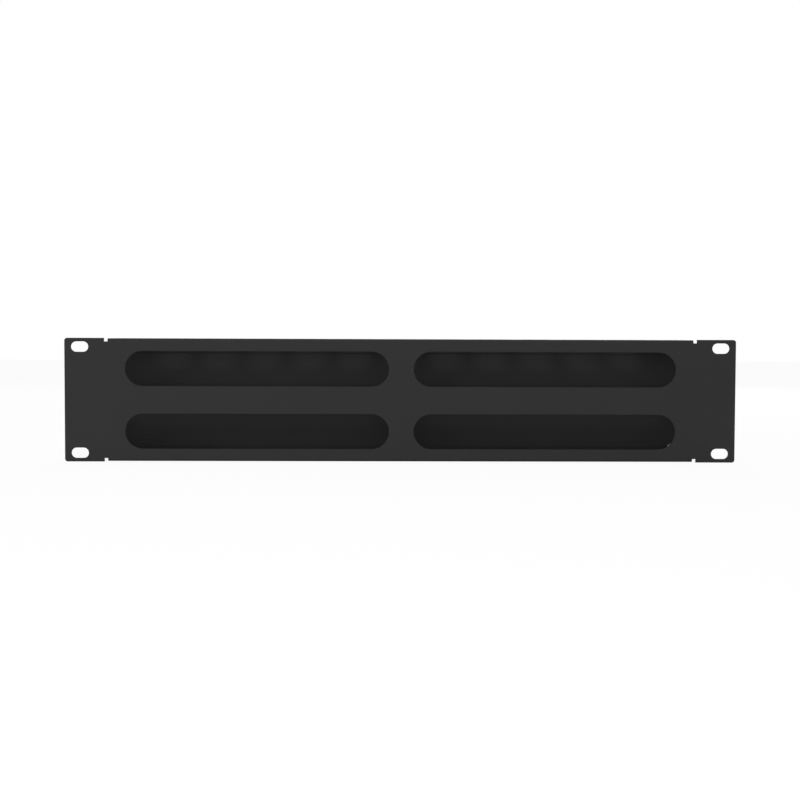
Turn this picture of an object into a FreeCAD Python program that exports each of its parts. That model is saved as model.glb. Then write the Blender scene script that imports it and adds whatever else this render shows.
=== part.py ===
"""Horizontal cable manager, 2U, for a 19-inch rack.

A folded steel duct: the front panel, its two ears and the duct's top, bottom and rear lips
are one sheet.  A flat plate closes the back, held by six screws in clinch nuts.

Millimetres.  +X is to the right seen from the front, the front faces -Y and +Z is up.
The origin is the centre of the rack mounting plane, which is the rear face of the ears.
"""
import os
import FreeCAD, Part

from FreeCAD import Vector

# ---- rack standard ----------------------------------------------------------------------
rack_units = 2
unit_pitch = 44.45              # height of one rack unit
stacking_gap = 0.2              # what a panel stays under its whole units
panel_width = 482.6
slot_end_distance = 10.8        # from the end of the panel to the middle of a slot
slot_edge_distance = 6.35       # from a unit boundary to the middle of a slot
slot_length = 12.4
slot_width = 7.4
ear_width = 30.8                # from the end of the panel to the folds
ear_corner_radius = 2.0

# ---- folded sheet -----------------------------------------------------------------------
sheet = 1.2
bend_inner_radius = 0.8
body_inset = 0.3                # the folded body stays this far inside the ears' edges
duct_depth = 50.0               # mounting plane to the rear face of the lips
lip_height = 10.5               # outside height of the rear lips
lip_corner_radius = 2.0
relief_width = 2.6              # notch beside each front fold
relief_overrun = 0.2            # what the notch runs past the start of the fold

# ---- windows in the front panel ---------------------------------------------------------
window_columns = 2
window_rows = 2
window_column_gap = 18.0
window_row_gap = 20.0
window_end_margin = 12.5        # from the end of the body
window_edge_margin = 9.0        # from the top or bottom of the body
rim_break = 0.3                 # edge break round the front of the windows and rack slots

# ---- cable openings in the top of the duct ----------------------------------------------
opening_width = 22.0
opening_web = 11.4              # steel left between two openings
opening_row_margin = 30.0       # least length kept whole at each end of the body
opening_front_margin = 10.0
opening_rear_margin = 4.0

# ---- rear plate and its fasteners -------------------------------------------------------
plate_thickness = 1.2
plate_corner_radius = 2.0
screw_end_distance = 5.0        # from the end of the body to the outer screws
screw_diameter = 3.0
screw_length = 6.0
screw_head_diameter = 5.6
screw_head_height = 2.4
screw_head_top = 3.6            # across the flat top of the head
screw_head_rim = 1.3            # height of the head's upright rim
recess_span = 2.8               # across the wings of the cross recess
recess_wing = 0.7
recess_depth = 1.2
nut_head_diameter = 6.3
nut_head_height = 1.5
nut_shank_diameter = 4.2
nut_shank_length = 0.97
press_clearance = 0.02          # radial, nut shank in the lip
thread_clearance = 0.05         # radial, screw in the nut
hole_clearance = 0.2            # radial, screw in the rear plate

# ---- worked out -------------------------------------------------------------------------
panel_height = rack_units * unit_pitch - stacking_gap
slot_column_pitch = panel_width - 2 * slot_end_distance
slot_row_pitch = rack_units * unit_pitch - 2 * slot_edge_distance
body_width = panel_width - 2 * ear_width        # length of the folds, and so of the duct
body_height = panel_height - 2 * body_inset
bend_outer_radius = bend_inner_radius + sheet
front_y = -sheet
plate_height = body_height - 2 * bend_outer_radius
lip_line_z = (body_height - lip_height - bend_outer_radius) / 2     # middle of a lip's flat

window_length = (body_width - 2 * window_end_margin
                 - (window_columns - 1) * window_column_gap) / window_columns
window_height = (body_height - 2 * window_edge_margin
                 - (window_rows - 1) * window_row_gap) / window_rows

opening_pitch = opening_width + opening_web
opening_row_length = body_width - 2 * opening_row_margin
opening_count = int((opening_row_length + opening_web) / opening_pitch)
opening_length = duct_depth - opening_front_margin - opening_rear_margin
opening_y = opening_front_margin + opening_length / 2

screw_columns = [screw_end_distance - body_width / 2, 0.0, body_width / 2 - screw_end_distance]
screw_rows = [-lip_line_z, lip_line_z]
screw_spots = [(x, z) for z in screw_rows for x in screw_columns]


def centred(count, pitch):
    """Places of a row of `count` that is centred on zero."""
    return [(index - (count - 1) / 2) * pitch for index in range(count)]


def obround(length, width, height):
    """A slot cutter with round ends, lying along X, centred on the origin, rising in Z."""
    radius = width / 2
    reach = length / 2 - radius
    top = Part.LineSegment(Vector(-reach, radius, 0), Vector(reach, radius, 0))
    right = Part.Arc(Vector(reach, radius, 0), Vector(reach + radius, 0, 0),
                     Vector(reach, -radius, 0))
    bottom = Part.LineSegment(Vector(reach, -radius, 0), Vector(-reach, -radius, 0))
    left = Part.Arc(Vector(-reach, -radius, 0), Vector(-reach - radius, 0, 0),
                    Vector(-reach, radius, 0))
    outline = Part.Wire([edge.toShape() for edge in (top, right, bottom, left)])
    cutter = Part.Face(outline).extrude(Vector(0, 0, height))
    cutter.translate(Vector(0, 0, -height / 2))
    return cutter


def upright(shape):
    """Turns a shape drawn flat in XY, so that it stands in XZ and its height lies along Y."""
    shape.rotate(Vector(0, 0, 0), Vector(1, 0, 0), 90)
    return shape


def rounded_plate(width, height, thickness, radius):
    """A plate that stands in XZ, centred on Y = 0, with rounded corners."""
    plate = Part.makeBox(width, thickness, height, Vector(-width / 2, -thickness / 2, -height / 2))
    corners = [edge for edge in plate.Edges if abs(edge.tangentAt(edge.FirstParameter).y) > 0.9]
    return plate.makeFillet(radius, corners)


def bent_line(corners, radius):
    """Edges of an open outline in YZ whose inner corners are arcs of one radius."""
    points = [Vector(0, y, z) for y, z in corners]
    edges = []
    start = points[0]
    for before, corner, after in zip(points, points[1:], points[2:]):
        towards_before = (before - corner).normalize()
        towards_after = (after - corner).normalize()
        arc_start = corner + towards_before * radius
        arc_end = corner + towards_after * radius
        centre = corner + (towards_before + towards_after) * radius
        middle = centre + (corner - centre).normalize() * radius
        edges.append(Part.LineSegment(start, arc_start).toShape())
        edges.append(Part.Arc(arc_start, middle, arc_end).toShape())
        start = arc_end
    edges.append(Part.LineSegment(start, points[-1]).toShape())
    return edges


def folded_body():
    """The sheet between the relief notches: panel face, duct top and bottom, rear lips."""
    half = body_height / 2
    outside = [(duct_depth, lip_height - half), (duct_depth, -half), (front_y, -half),
               (front_y, half), (duct_depth, half), (duct_depth, half - lip_height)]
    inner_half = half - sheet
    inner_rear = duct_depth - sheet
    inside = [(inner_rear, lip_height - half), (inner_rear, -inner_half), (0, -inner_half),
              (0, inner_half), (inner_rear, inner_half), (inner_rear, half - lip_height)]
    outer_edges = bent_line(outside, bend_outer_radius)
    inner_edges = bent_line(inside, bend_inner_radius)
    ends = []
    for outer_point, inner_point in ((outside[0], inside[0]), (outside[-1], inside[-1])):
        ends.append(Part.LineSegment(Vector(0, *outer_point), Vector(0, *inner_point)).toShape())
    outline = Part.Wire(Part.__sortEdges__(outer_edges + inner_edges + ends))
    body = Part.Face(outline).extrude(Vector(body_width, 0, 0))
    body.translate(Vector(-body_width / 2, 0, 0))
    return round_lip_corners(body)


def round_lip_corners(body):
    """Rounds the four free corners of the rear lips."""
    corners = []
    for edge in body.Edges:
        middle = edge.CenterOfMass
        along_y = abs(edge.tangentAt(edge.FirstParameter).y) > 0.9
        at_lip_edge = abs(abs(middle.z) - (body_height / 2 - lip_height)) < sheet / 10
        if along_y and at_lip_edge and edge.Length < 2 * sheet:
            corners.append(edge)
    return body.makeFillet(lip_corner_radius, corners)


def fold_relief(side, end):
    """The cut beside one front fold.  `side` is the sign of X and `end` the sign of Z."""
    height = 4 * bend_outer_radius
    notch = Part.makeBox(relief_width, 4 * sheet, height,
                         Vector(-relief_width / 2, -2 * sheet, 0))
    corners = [edge for edge in notch.Edges
               if abs(edge.tangentAt(edge.FirstParameter).y) > 0.9
               and edge.CenterOfMass.z < height / 2]
    notch = notch.makeFillet(relief_overrun, corners)
    if end < 0:
        notch.rotate(Vector(0, 0, 0), Vector(0, 1, 0), 180)
    bottom_z = body_height / 2 - bend_outer_radius - relief_overrun
    notch.translate(Vector(side * (body_width + relief_width) / 2, front_y / 2, end * bottom_z))
    return notch


def panel_blank():
    """The flat of the panel with its ears, cut back to where the front folds start."""
    blank = rounded_plate(panel_width, panel_height, sheet, ear_corner_radius)
    blank.translate(Vector(0, front_y / 2, 0))
    flat_height = body_height - 2 * bend_outer_radius
    for end in (-1, 1):
        strip = Part.makeBox(body_width, 4 * sheet, 4 * bend_outer_radius,
                             Vector(-body_width / 2, -2 * sheet, 0))
        if end < 0:
            strip.rotate(Vector(0, 0, 0), Vector(0, 1, 0), 180)
        strip.translate(Vector(0, front_y / 2, end * flat_height / 2))
        blank = blank.cut(strip)
        for side in (-1, 1):
            blank = blank.cut(fold_relief(side, end))
    return blank


def front_cutters():
    """The four windows and the four rack slots."""
    cutters = []
    for x in centred(window_columns, window_length + window_column_gap):
        for z in centred(window_rows, window_height + window_row_gap):
            window = upright(obround(window_length, window_height, 4 * sheet))
            window.translate(Vector(x, front_y / 2, z))
            cutters.append(window)
    for x in centred(2, slot_column_pitch):
        for z in centred(2, slot_row_pitch):
            slot = upright(obround(slot_length, slot_width, 4 * sheet))
            slot.translate(Vector(x, front_y / 2, z))
            cutters.append(slot)
    return cutters


def duct_cutters():
    """The cable openings in the top of the duct and the nut holes in the rear lips."""
    cutters = []
    for x in centred(opening_count, opening_pitch):
        opening = obround(opening_length, opening_width, 4 * sheet)
        opening.rotate(Vector(0, 0, 0), Vector(0, 0, 1), 90)
        opening.translate(Vector(x, opening_y, (body_height - sheet) / 2))
        cutters.append(opening)
    for x, z in screw_spots:
        start = Vector(x, duct_depth - 2 * sheet, z)
        hole_radius = nut_shank_diameter / 2 + press_clearance
        cutters.append(Part.makeCylinder(hole_radius, 3 * sheet, start, Vector(0, 1, 0)))
    return cutters


def break_front_rims(panel):
    """Breaks the sharp front rims of the windows and rack slots."""
    front_faces = [face for face in panel.Faces
                   if face.normalAt(0, 0).y < -0.99 and abs(face.CenterOfMass.y - front_y) < 1e-6]
    front = max(front_faces, key=lambda face: face.Area)
    rims = [wire for wire in front.Wires if not wire.isSame(front.OuterWire)]
    return panel.makeChamfer(rim_break, [edge for rim in rims for edge in rim.Edges])


def front_panel():
    """One folded sheet: panel, ears, duct and rear lips."""
    panel = panel_blank().fuse(folded_body()).removeSplitter()
    panel = panel.cut(front_cutters() + duct_cutters())
    return break_front_rims(panel)


def rear_plate():
    """The flat plate that closes the duct, lying on the rear faces of the lips."""
    plate = rounded_plate(body_width, plate_height, plate_thickness, plate_corner_radius)
    plate.translate(Vector(0, duct_depth + plate_thickness / 2, 0))
    holes = []
    for x, z in screw_spots:
        start = Vector(x, duct_depth - plate_thickness, z)
        hole_radius = screw_diameter / 2 + hole_clearance
        holes.append(Part.makeCylinder(hole_radius, 3 * plate_thickness, start, Vector(0, 1, 0)))
    return plate.cut(holes)


def cross_recess():
    """Cutter of the screw's cross recess, which goes down from Z = 0."""
    wings = []
    for turn in (0, 90):
        wing = Part.makeBox(recess_span, recess_wing, recess_depth,
                            Vector(-recess_span / 2, -recess_wing / 2, -recess_depth))
        wing.rotate(Vector(0, 0, 0), Vector(0, 0, 1), turn)
        wings.append(wing)
    return wings[0].fuse(wings[1])


def cover_screw():
    """Pan-head screw along Z: the head rises from Z = 0 and the shank goes down."""
    rim_radius = screw_head_diameter / 2
    top_radius = screw_head_top / 2
    profile = [(0, 0), (rim_radius, 0), (rim_radius, screw_head_rim),
               (top_radius, screw_head_height), (0, screw_head_height), (0, 0)]
    outline = Part.makePolygon([Vector(x, 0, z) for x, z in profile])
    head = Part.Face(outline).revolve(Vector(0, 0, 0), Vector(0, 0, 1), 360)
    recess = cross_recess()
    recess.translate(Vector(0, 0, screw_head_height))
    shank = Part.makeCylinder(screw_diameter / 2, screw_length, Vector(0, 0, -screw_length))
    return head.fuse(shank).cut(recess)


def clinch_nut():
    """Self-clinching nut along Z: the head goes down from Z = 0 and the shank rises."""
    head = Part.makeCylinder(nut_head_diameter / 2, nut_head_height,
                             Vector(0, 0, -nut_head_height))
    shank = Part.makeCylinder(nut_shank_diameter / 2, nut_shank_length)
    bore = Part.makeCylinder(screw_diameter / 2 + thread_clearance,
                             2 * (nut_head_height + nut_shank_length),
                             Vector(0, 0, -2 * nut_head_height))
    return head.fuse(shank).removeSplitter().cut(bore)


def facing_rear(shape, x, y, z):
    """Turns a fastener's +Z to +Y, away from the panel, and puts its origin at a place."""
    shape.rotate(Vector(0, 0, 0), Vector(1, 0, 0), -90)
    shape.translate(Vector(x, y, z))
    return shape


os.makedirs("parts", exist_ok=True)
nodes = {"front_panel": front_panel(), "rear_plate": rear_plate()}
for number, (x, z) in enumerate(screw_spots, start=1):
    nodes[f"clinch_nut_{number}"] = facing_rear(clinch_nut(), x, duct_depth - sheet, z)
    nodes[f"cover_screw_{number}"] = facing_rear(cover_screw(), x, duct_depth + plate_thickness, z)
for name, shape in nodes.items():
    shape.exportStep(f"parts/{name}.step")
    print(f"{name}: {len(shape.Solids)} solid, {shape.Volume:.1f} mm3, valid {shape.isValid()}")
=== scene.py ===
import math

import bpy
from mathutils import Matrix, Vector


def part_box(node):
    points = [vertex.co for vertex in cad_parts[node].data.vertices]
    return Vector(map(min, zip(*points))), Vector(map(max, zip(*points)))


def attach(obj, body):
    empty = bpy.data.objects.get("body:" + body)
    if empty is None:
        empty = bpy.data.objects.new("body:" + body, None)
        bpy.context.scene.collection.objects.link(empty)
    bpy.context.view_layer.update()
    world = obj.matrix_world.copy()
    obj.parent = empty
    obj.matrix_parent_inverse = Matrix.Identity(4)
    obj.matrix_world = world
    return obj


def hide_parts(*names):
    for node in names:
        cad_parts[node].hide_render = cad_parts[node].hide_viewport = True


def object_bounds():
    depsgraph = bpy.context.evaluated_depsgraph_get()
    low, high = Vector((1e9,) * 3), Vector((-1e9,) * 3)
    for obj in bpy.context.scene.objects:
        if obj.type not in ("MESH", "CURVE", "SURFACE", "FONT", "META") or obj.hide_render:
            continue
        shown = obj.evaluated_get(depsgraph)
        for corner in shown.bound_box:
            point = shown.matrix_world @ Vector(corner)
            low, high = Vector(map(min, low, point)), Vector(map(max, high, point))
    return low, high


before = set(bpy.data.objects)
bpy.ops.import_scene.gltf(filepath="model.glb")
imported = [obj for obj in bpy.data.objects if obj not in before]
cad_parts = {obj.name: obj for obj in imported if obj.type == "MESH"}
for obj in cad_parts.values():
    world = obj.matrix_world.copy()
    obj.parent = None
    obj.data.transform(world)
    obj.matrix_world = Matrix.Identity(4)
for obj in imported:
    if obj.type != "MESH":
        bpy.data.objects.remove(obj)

cad_box = [list(corner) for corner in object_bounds()]
bpy.ops.object.select_all(action="DESELECT")


# ---- Folded front panel and duct --------------------------------------------------------
# One sheet of 1.2 mm steel: rack panel, ears, top, bottom and rear lips, laser cut and folded.
# It is coated all over with black polyester powder, sprayed on dry and baked, so the film
# has a faint orange peel with a finer grain in it and rounds every cut edge a little.

def linear(hex_colour):
    """An sRGB hex colour as linear red, green, blue and alpha."""
    channels = [int(hex_colour[start:start + 2], 16) / 255 for start in (1, 3, 5)]
    return [c / 12.92 if c <= 0.04045 else ((c + 0.055) / 1.055) ** 2.4 for c in channels] + [1.0]


def add_node(tree, kind, settings=None, links=None):
    """Adds a node, sets its sockets or properties, and links outputs into its sockets."""
    node = tree.nodes.new(kind)
    for name, value in (settings or {}).items():
        if name in node.inputs:
            node.inputs[name].default_value = value
        else:
            setattr(node, name, value)
    for name, output in (links or {}).items():
        tree.links.new(output, node.inputs[name])
    return node


# Baked polyester powder coat: a matt dielectric film, black and neutral. Its matting agent
# breaks up the skin, so it shines less than half as much as a smooth film would.
coat_deep = "#232323"
coat_thin = "#272727"
coat_ior = 1.45
coat_shine = 0.2                # specular level, where 0.5 is a smooth film
coat_roughness = (0.71, 0.79)
coat_cloud_size = 0.045         # metres, slow change in film thickness
coat_peel_size = 0.0011         # orange peel, drawn a little coarse so that it shows
coat_peel_height = 0.000014
coat_grain_size = 0.0003
coat_grain_height = 0.000005
coat_edge_radius = 0.00025      # the film rounds a cut edge by this much

powder_coat = bpy.data.materials.new("black_polyester_powder_coat")
powder_coat.use_nodes = True
tree = powder_coat.node_tree
tree.nodes.clear()
place = add_node(tree, "ShaderNodeTexCoord").outputs["Object"]
cloud = add_node(tree, "ShaderNodeTexNoise",
                 {"Scale": 1 / coat_cloud_size, "Detail": 3.0, "Roughness": 0.55},
                 {"Vector": place}).outputs["Fac"]
peel = add_node(tree, "ShaderNodeTexNoise",
                {"Scale": 1 / coat_peel_size, "Detail": 1.0, "Roughness": 0.4},
                {"Vector": place}).outputs["Fac"]
grain = add_node(tree, "ShaderNodeTexNoise",
                 {"Scale": 1 / coat_grain_size, "Detail": 2.0, "Roughness": 0.6},
                 {"Vector": place}).outputs["Fac"]
colour = add_node(tree, "ShaderNodeMixRGB",
                  {"Color1": linear(coat_deep), "Color2": linear(coat_thin)},
                  {"Fac": cloud}).outputs["Color"]
roughness = add_node(tree, "ShaderNodeMapRange",
                     {"From Min": 0.3, "From Max": 0.7,
                      "To Min": coat_roughness[0], "To Max": coat_roughness[1]},
                     {"Value": grain}).outputs["Result"]
edge = add_node(tree, "ShaderNodeBevel",
                {"samples": 4, "Radius": coat_edge_radius}).outputs["Normal"]
peel_bump = add_node(tree, "ShaderNodeBump", {"Distance": coat_peel_height},
                     {"Height": peel, "Normal": edge}).outputs["Normal"]
grain_bump = add_node(tree, "ShaderNodeBump", {"Distance": coat_grain_height},
                      {"Height": grain, "Normal": peel_bump}).outputs["Normal"]
surface = add_node(tree, "ShaderNodeBsdfPrincipled",
                   {"IOR": coat_ior, "Specular IOR Level": coat_shine},
                   {"Base Color": colour, "Roughness": roughness, "Normal": grain_bump})
add_node(tree, "ShaderNodeOutputMaterial", links={"Surface": surface.outputs["BSDF"]})

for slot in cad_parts["front_panel"].material_slots:
    slot.material = powder_coat


# ---- Rear plate -------------------------------------------------------------------------
# A flat steel plate that closes the back of the duct, screwed to the rear lips.
# It is cut from the same sheet and coated in the same batch as the folded panel.

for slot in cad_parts["rear_plate"].material_slots:
    slot.material = powder_coat


# ---- Clinch nuts ------------------------------------------------------------------------
# Six steel M3 self-clinching nuts, pressed into the lips after the sheet is coated.
# They are barrel plated in bright zinc, which has fine tumbling marks and a cold shine.

zinc_light = "#C9CDD1"
zinc_dull = "#A9AEB3"
zinc_roughness = (0.24, 0.42)
zinc_patch_size = 0.0016
zinc_mark_size = 0.00025
zinc_mark_depth = 0.000004

bright_zinc = bpy.data.materials.new("bright_barrel_zinc_plate")
bright_zinc.use_nodes = True
tree = bright_zinc.node_tree
tree.nodes.clear()
place = add_node(tree, "ShaderNodeTexCoord").outputs["Object"]
patch = add_node(tree, "ShaderNodeTexNoise", {"Scale": 1 / zinc_patch_size, "Detail": 3.0},
                 {"Vector": place}).outputs["Fac"]
marks = add_node(tree, "ShaderNodeTexNoise", {"Scale": 1 / zinc_mark_size, "Detail": 2.0},
                 {"Vector": place}).outputs["Fac"]
colour = add_node(tree, "ShaderNodeMixRGB",
                  {"Color1": linear(zinc_light), "Color2": linear(zinc_dull)},
                  {"Fac": patch}).outputs["Color"]
roughness = add_node(tree, "ShaderNodeMapRange",
                     {"To Min": zinc_roughness[0], "To Max": zinc_roughness[1]},
                     {"Value": patch}).outputs["Result"]
bump = add_node(tree, "ShaderNodeBump", {"Distance": zinc_mark_depth},
                {"Height": marks}).outputs["Normal"]
surface = add_node(tree, "ShaderNodeBsdfPrincipled", {"Metallic": 1.0},
                   {"Base Color": colour, "Roughness": roughness, "Normal": bump})
add_node(tree, "ShaderNodeOutputMaterial", links={"Surface": surface.outputs["BSDF"]})

nut_head_height = 0.0015        # metres, from the lip into the duct
# Half a nut's section as (radius, distance behind the lip's inner face): a chamfered round
# head, the shank that is pressed into the lip, and a bore with broken rims.
nut_section = [(0.00185, -0.0015), (0.00295, -0.0015), (0.00315, -0.0013), (0.00315, -0.00015),
               (0.003, 0.0), (0.0021, 0.0), (0.0021, 0.00097), (0.00165, 0.00097),
               (0.00155, 0.00087), (0.00155, -0.00125), (0.00185, -0.0015)]
turned_facets = 40
smooth_angle = math.radians(35)     # edges sharper than this stay crisp
merge_distance = 0.000001


def turn_section(section, x, y, z, start_cap):
    """Turns a section of (radius, distance along Y) about a line along Y through a place."""
    radius, along = section[0]
    bpy.ops.object.select_all(action="DESELECT")
    bpy.ops.mesh.primitive_circle_add(vertices=turned_facets, radius=radius, fill_type=start_cap,
                                      location=(x, y + along, z), rotation=(math.pi / 2, 0, 0))
    bpy.ops.object.transform_apply(location=True, rotation=True, scale=True)
    bpy.ops.object.mode_set(mode="EDIT")
    for next_radius, next_along in section[1:]:
        step = (0, next_along - along, 0)
        bpy.ops.mesh.extrude_edges_move(TRANSFORM_OT_translate={"value": step})
        bpy.ops.transform.resize(value=(next_radius / radius, 1, next_radius / radius),
                                 center_override=(x, y + next_along, z))
        radius, along = next_radius, next_along
    return bpy.context.object


def copy_to(piece, shift):
    """A copy of a piece with its own mesh, moved by a shift that is then applied."""
    bpy.ops.object.select_all(action="DESELECT")
    piece.select_set(True)
    bpy.context.view_layer.objects.active = piece
    bpy.ops.object.duplicate(linked=False)
    bpy.ops.transform.translate(value=shift)
    bpy.ops.object.transform_apply(location=True, rotation=True, scale=True)
    return bpy.context.object


nut_nodes = sorted(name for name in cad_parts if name.startswith("clinch_nut"))
low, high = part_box(nut_nodes[0])
nut_place = Vector(((low.x + high.x) / 2, low.y + nut_head_height, (low.z + high.z) / 2))
first_nut = turn_section(nut_section, *nut_place, "NOTHING")
bpy.ops.mesh.select_all(action="SELECT")
bpy.ops.mesh.remove_doubles(threshold=merge_distance)
bpy.ops.mesh.normals_make_consistent(inside=False)
bpy.ops.object.mode_set(mode="OBJECT")
bpy.ops.object.shade_smooth_by_angle(angle=smooth_angle)
first_nut.data.materials.append(bright_zinc)
nuts = [first_nut] + [copy_to(first_nut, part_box(name)[0] - low) for name in nut_nodes[1:]]
for number, (nut, name) in enumerate(zip(nuts, nut_nodes), start=1):
    nut.name = f"turned_clinch_nut_{number}"
    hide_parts(name)
    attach(nut, "root")
    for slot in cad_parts[name].material_slots:
        slot.material = bright_zinc


# ---- Cover screws -----------------------------------------------------------------------
# Six M3 pan-head steel screws through the rear plate into the clinch nuts.
# Black passivated zinc: a thin dark film over metal, satin, a touch warmer than the coat.

black_zinc_film = "#2A2A2B"
black_zinc_worn = "#3A3937"
black_zinc_metal = 0.7          # the film hides part of the metal
black_zinc_roughness = (0.3, 0.44)
black_zinc_patch_size = 0.0012
black_zinc_mark_size = 0.0002
black_zinc_mark_depth = 0.000003

black_zinc = bpy.data.materials.new("black_passivated_zinc")
black_zinc.use_nodes = True
tree = black_zinc.node_tree
tree.nodes.clear()
place = add_node(tree, "ShaderNodeTexCoord").outputs["Object"]
patch = add_node(tree, "ShaderNodeTexNoise", {"Scale": 1 / black_zinc_patch_size, "Detail": 4.0},
                 {"Vector": place}).outputs["Fac"]
marks = add_node(tree, "ShaderNodeTexNoise", {"Scale": 1 / black_zinc_mark_size, "Detail": 2.0},
                 {"Vector": place}).outputs["Fac"]
colour = add_node(tree, "ShaderNodeMixRGB",
                  {"Color1": linear(black_zinc_film), "Color2": linear(black_zinc_worn)},
                  {"Fac": patch}).outputs["Color"]
roughness = add_node(tree, "ShaderNodeMapRange",
                     {"To Min": black_zinc_roughness[0], "To Max": black_zinc_roughness[1]},
                     {"Value": patch}).outputs["Result"]
bump = add_node(tree, "ShaderNodeBump", {"Distance": black_zinc_mark_depth},
                {"Height": marks}).outputs["Normal"]
surface = add_node(tree, "ShaderNodeBsdfPrincipled", {"Metallic": black_zinc_metal},
                   {"Base Color": colour, "Roughness": roughness, "Normal": bump})
add_node(tree, "ShaderNodeOutputMaterial", links={"Surface": surface.outputs["BSDF"]})

screw_head_height = 0.0024      # metres, from the rear plate to the crown
thread_pitch = 0.0005
thread_turns = 10
# Half a screw's section as (radius, distance behind the rear plate): a domed pan head, then
# the shank. The thread is drawn as rings, because its slope is too slight to see.
screw_section = [(0.0012, 0.0024), (0.0018, 0.00234), (0.0022, 0.00219), (0.0025, 0.00192),
                 (0.00268, 0.0016), (0.00278, 0.0012), (0.0028, 0.0008), (0.0028, 0.0001),
                 (0.0027, 0.0), (0.0015, 0.0), (0.0015, -0.0004)]
for turn in range(thread_turns):
    screw_section.append((0.00125, -0.0006 - turn * thread_pitch))
    screw_section.append((0.0015, -0.00085 - turn * thread_pitch))
screw_section += [(0.00125, -0.0056), (0.0011, -0.006)]

screw_nodes = sorted(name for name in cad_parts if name.startswith("cover_screw"))
low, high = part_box(screw_nodes[0])
screw_place = Vector(((low.x + high.x) / 2, high.y - screw_head_height, (low.z + high.z) / 2))
first_screw = turn_section(screw_section, *screw_place, "NGON")
bpy.ops.mesh.edge_face_add()                    # closes the tip
bpy.ops.mesh.select_all(action="SELECT")
bpy.ops.mesh.normals_make_consistent(inside=False)
bpy.ops.object.mode_set(mode="OBJECT")

# The cross recess is punched by a tapered driver: two wings, narrower towards their bottom.
recess_span = 0.0029
recess_wing = 0.0008
recess_depth = 0.0014
recess_overrun = 0.0004         # the punch stands out of the crown by this much
recess_taper = 0.55             # its width at the bottom, as a share of that at the top
punch_height = recess_depth + recess_overrun
punch_middle = high.y + recess_overrun - punch_height / 2
for span_x, span_z in ((recess_span, recess_wing), (recess_wing, recess_span)):
    bpy.ops.object.select_all(action="DESELECT")
    bpy.ops.mesh.primitive_cube_add(size=1, location=(screw_place.x, punch_middle, screw_place.z),
                                    scale=(span_x, punch_height, span_z))
    punch = bpy.context.object
    bpy.ops.object.transform_apply(location=True, rotation=True, scale=True)
    for face in punch.data.polygons:
        face.select = face.normal.y < -0.9
    bpy.ops.object.mode_set(mode="EDIT")
    bpy.ops.mesh.select_mode(type="FACE")
    bpy.ops.transform.resize(value=(recess_taper, 1, recess_taper), center_override=(
        screw_place.x, high.y - recess_depth, screw_place.z))
    bpy.ops.object.mode_set(mode="OBJECT")
    bpy.ops.object.select_all(action="DESELECT")
    first_screw.select_set(True)
    bpy.context.view_layer.objects.active = first_screw
    bpy.ops.object.modifier_add(type="BOOLEAN")
    first_screw.modifiers[-1].operation = "DIFFERENCE"
    first_screw.modifiers[-1].object = punch
    bpy.ops.object.modifier_apply(modifier=first_screw.modifiers[-1].name)
    bpy.data.objects.remove(punch)
bpy.ops.object.shade_smooth_by_angle(angle=smooth_angle)
first_screw.data.materials.clear()
first_screw.data.materials.append(black_zinc)
screws = [first_screw] + [copy_to(first_screw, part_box(name)[0] - low)
                          for name in screw_nodes[1:]]
for number, (screw, name) in enumerate(zip(screws, screw_nodes), start=1):
    screw.name = f"pan_head_screw_{number}"
    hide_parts(name)
    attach(screw, "root")
    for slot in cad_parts[name].material_slots:
        slot.material = black_zinc


# ---- Studio floor -----------------------------------------------------------------------
# A plain white sweep under the part, at its lowest point. It shows white to the camera and
# in reflections, and a share of plain matt white in it keeps the part's soft shadow.

floor_size = 8.0
floor_colour = "#FAFAFA"
floor_glow_share = 0.93

bpy.ops.mesh.primitive_plane_add(size=floor_size, location=(0, 0, cad_box[0][2]))
floor = bpy.context.object
floor.name = "studio_floor"
bpy.ops.object.transform_apply(location=True, rotation=True, scale=True)
floor.select_set(False)


def shown_to_view(tree):
    """An output that is 1 for what is seen straight, in a reflection or through glass."""
    rays = add_node(tree, "ShaderNodeLightPath")
    seen = add_node(tree, "ShaderNodeMath", {"operation": "MAXIMUM"})
    tree.links.new(rays.outputs["Is Camera Ray"], seen.inputs[0])
    tree.links.new(rays.outputs["Is Glossy Ray"], seen.inputs[1])
    seen_or_through = add_node(tree, "ShaderNodeMath", {"operation": "MAXIMUM"})
    tree.links.new(seen.outputs[0], seen_or_through.inputs[0])
    tree.links.new(rays.outputs["Is Transmission Ray"], seen_or_through.inputs[1])
    return seen_or_through.outputs[0]


white_sweep = bpy.data.materials.new("matt_white_sweep")
white_sweep.use_nodes = True
tree = white_sweep.node_tree
tree.nodes.clear()
share = add_node(tree, "ShaderNodeMath", {"operation": "MULTIPLY"})
tree.links.new(shown_to_view(tree), share.inputs[0])
share.inputs[1].default_value = floor_glow_share
matt = add_node(tree, "ShaderNodeBsdfDiffuse", {"Color": linear(floor_colour)})
glow = add_node(tree, "ShaderNodeEmission", {"Strength": 1.0})
mixed = add_node(tree, "ShaderNodeMixShader", links={"Fac": share.outputs[0]})
tree.links.new(matt.outputs[0], mixed.inputs[1])
tree.links.new(glow.outputs[0], mixed.inputs[2])
add_node(tree, "ShaderNodeOutputMaterial", links={"Surface": mixed.outputs[0]})
floor.data.materials.append(white_sweep)


# ---- Studio light -----------------------------------------------------------------------
# A white room: even light from all round, with softboxes in front, to the left, above and
# behind, and a low and a high strip in front. Together they bring each side to a level at
# which a colour renders about as it is written.

room_level = 0.45               # the room's light on the part; what is seen of it is 1

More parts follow.
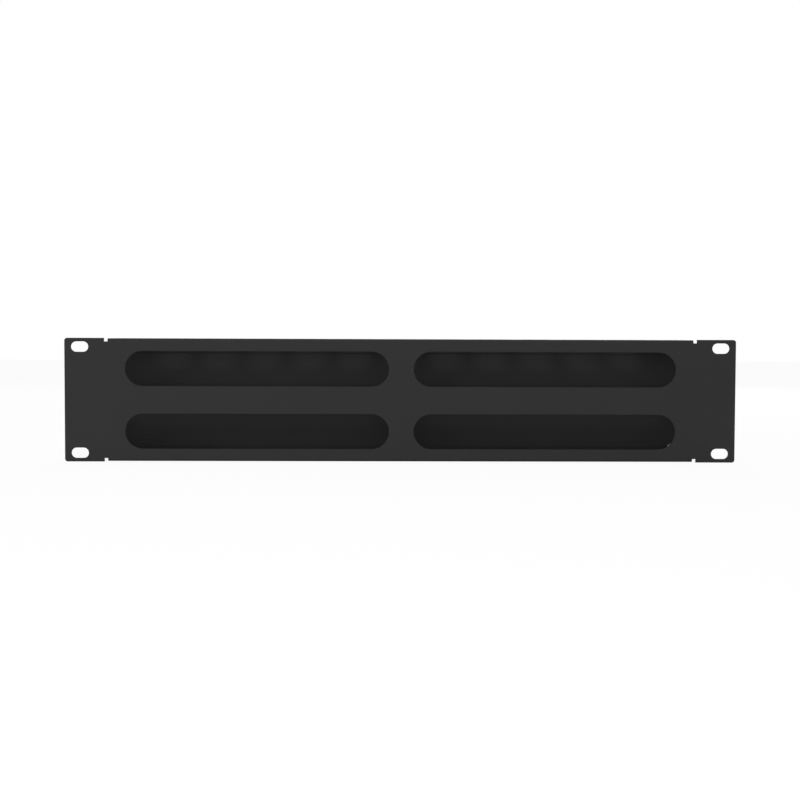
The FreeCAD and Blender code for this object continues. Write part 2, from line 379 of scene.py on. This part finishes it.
room = bpy.data.worlds.new("white_room")
bpy.context.scene.world = room
room.use_nodes = True
tree = room.node_tree
tree.nodes.clear()
lit = add_node(tree, "ShaderNodeBackground", {"Color": linear("#FFFFFF"), "Strength": room_level})
shown = add_node(tree, "ShaderNodeBackground", {"Color": linear("#FFFFFF"), "Strength": 1.0})
mixed = add_node(tree, "ShaderNodeMixShader", links={"Fac": shown_to_view(tree)})
tree.links.new(lit.outputs[0], mixed.inputs[1])
tree.links.new(shown.outputs[0], mixed.inputs[2])
add_node(tree, "ShaderNodeOutputWorld", links={"Surface": mixed.outputs[0]})


def add_softbox(name, place, width, height, power):
    """A softbox at a place, turned to face the middle of the part."""
    lamp = bpy.data.lights.new(name, "AREA")
    lamp.shape = "RECTANGLE"
    lamp.size = width
    lamp.size_y = height
    lamp.energy = power
    box = bpy.data.objects.new(name, lamp)
    bpy.context.scene.collection.objects.link(box)
    box.location = place
    box.rotation_euler = (-Vector(place)).to_track_quat("-Z", "Y").to_euler()


add_softbox("front_softbox", (-0.1, -1.3, 0.1), 0.5, 0.5, 2.6)
add_softbox("low_strip", (0.0, -1.3, 0.03), 1.6, 0.12, 2.5)
add_softbox("left_softbox", (-0.9, -0.5, 0.16), 0.3, 0.3, 1.4)
add_softbox("far_left_softbox", (-0.85, -1.2, 0.22), 0.5, 0.5, 2.3)
add_softbox("high_strip", (0.0, -1.0, 0.64), 0.4, 0.1, 2.7)
add_softbox("top_softbox", (0.0, 0.2, 1.1), 0.5, 0.5, 1.6)
add_softbox("rear_softbox", (0.3, 1.4, 0.6), 0.6, 0.6, 8.5)


# ---- Camera -----------------------------------------------------------------------------
# A camera with a long lens, one metre in front of the panel, a little left of its middle and
# level with its top edge, looking slightly down.

camera_place = Vector((-0.0195, -0.9993, 0.0468))
camera_yaw = math.radians(-1.06)
camera_pitch = math.radians(-2.66)
camera_roll = math.radians(-0.20)
camera_lens = 62.5              # millimetres
camera_sensor = 36.0

lens = bpy.data.cameras.new("camera")
lens.lens = camera_lens
lens.sensor_width = camera_sensor
camera = bpy.data.objects.new("camera", lens)
bpy.context.scene.collection.objects.link(camera)
camera.matrix_world = (Matrix.Translation(camera_place)
                       @ Matrix.Rotation(camera_yaw, 4, "Z")
                       @ Matrix.Rotation(math.pi / 2 + camera_pitch, 4, "X")
                       @ Matrix.Rotation(-camera_roll, 4, "Z"))
bpy.context.scene.camera = camera

bpy.context.scene.view_settings.view_transform = "Standard"
